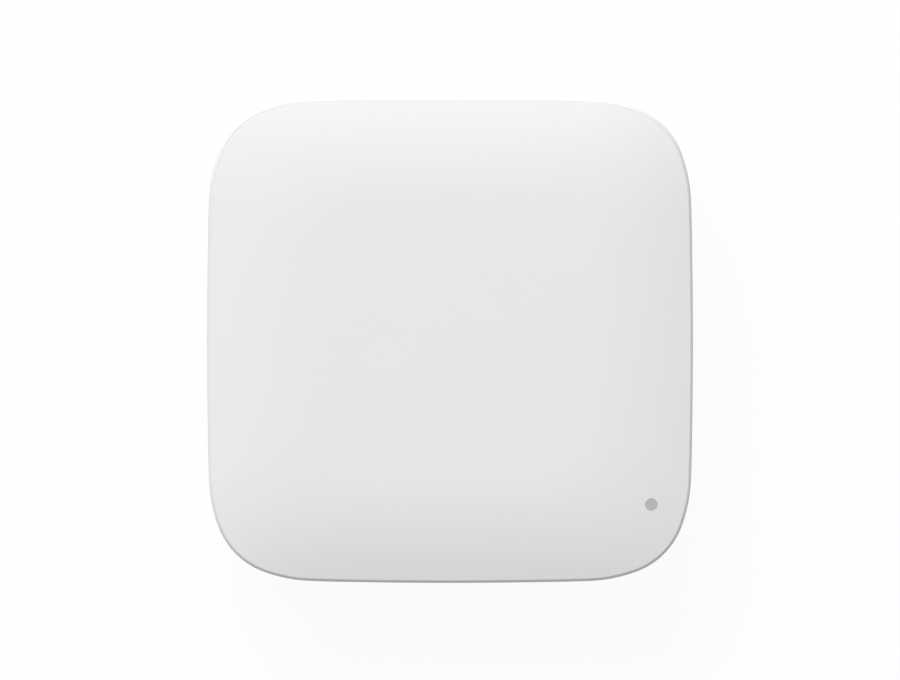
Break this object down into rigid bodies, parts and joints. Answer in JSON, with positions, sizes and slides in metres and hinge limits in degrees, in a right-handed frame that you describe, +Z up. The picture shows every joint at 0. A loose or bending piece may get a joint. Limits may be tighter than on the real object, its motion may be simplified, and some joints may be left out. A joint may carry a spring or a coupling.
{
  "type": "smart home hub",
  "caption": "Low square smart home hub with softly bowed sides, crowned lid, rolled rim and status light, and a rear bay of sockets with push buttons.",
  "frame": {"origin": "middle of the hub's footprint, on the plane of its rubber feet", "axes": "+Z up out of the lid, +Y towards the rear bay of sockets, +X to the right seen from above"},
  "size_m": [0.132, 0.132, 0.0334],
  "materials": {
    "white_plastic": "satin moulded",
    "grey_rubber": "matte",
    "screw_steel": "zinc plated",
    "board_laminate": "solder mask",
    "light_guide_plastic": "translucent",
    "black_plastic": "moulded",
    "led_plastic": "clear moulded",
    "plated_shell": "nickel plated",
    "gold_plate": "plated",
    "link_light_plastic": "tinted",
    "usb_insulator": "moulded",
    "button_grey": "moulded",
    "chip_epoxy": "moulded",
    "pad_silicone": "soft",
    "sink_aluminium": "anodised",
    "tinned_sheet": "tin plated",
    "passive_ceramic": "fired"
  },
  "bodies": {
    "housing": {"top_cover": "white_plastic", "base_tray": "white_plastic", "rubber_feet": "grey_rubber", "housing_screws": "screw_steel", "main_board": "board_laminate", "radio_module_board": "board_laminate", "antenna_strip": "board_laminate", "light_guide": "light_guide_plastic", "led_shroud": "black_plastic", "power_jack_body": "black_plastic", "ethernet_body": "black_plastic", "pair_switch_body": "black_plastic", "reset_switch_body": "black_plastic", "power_inductor": "black_plastic", "status_led": "led_plastic", "ethernet_shell": "plated_shell", "usb_shell": "plated_shell", "wifi_shield_can": "plated_shell", "radio_module_can": "plated_shell", "crystals": "plated_shell", "power_jack_pin": "plated_shell", "ethernet_contacts": "gold_plate", "usb_contacts": "gold_plate", "ethernet_link_lights": "link_light_plastic", "usb_tongue": "usb_insulator", "processor": "chip_epoxy", "memory_chips": "chip_epoxy", "regulator_chips": "chip_epoxy", "ethernet_transformer": "chip_epoxy", "thermal_pad": "pad_silicone", "heat_sink": "sink_aluminium", "power_capacitors": "sink_aluminium", "wifi_antennas": "tinned_sheet", "power_jack_spring": "tinned_sheet", "board_passives": "passive_ceramic"},
    "pairing_key": {"pair_button": "button_grey", "pair_switch_stem": "button_grey"},
    "reset_key": {"reset_switch_stem": "button_grey"}
  },
  "joints": [
    {"name": "pair_press", "type": "slide", "parent": "housing", "child": "pairing_key", "axis": [0, -1, 0], "range_m": [0, 0.0005], "stiffness_N_per_m": 3000},
    {"name": "reset_press", "type": "slide", "parent": "housing", "child": "reset_key", "axis": [0, -1, 0], "range_m": [0, 0.0005], "stiffness_N_per_m": 3000}
  ]
}
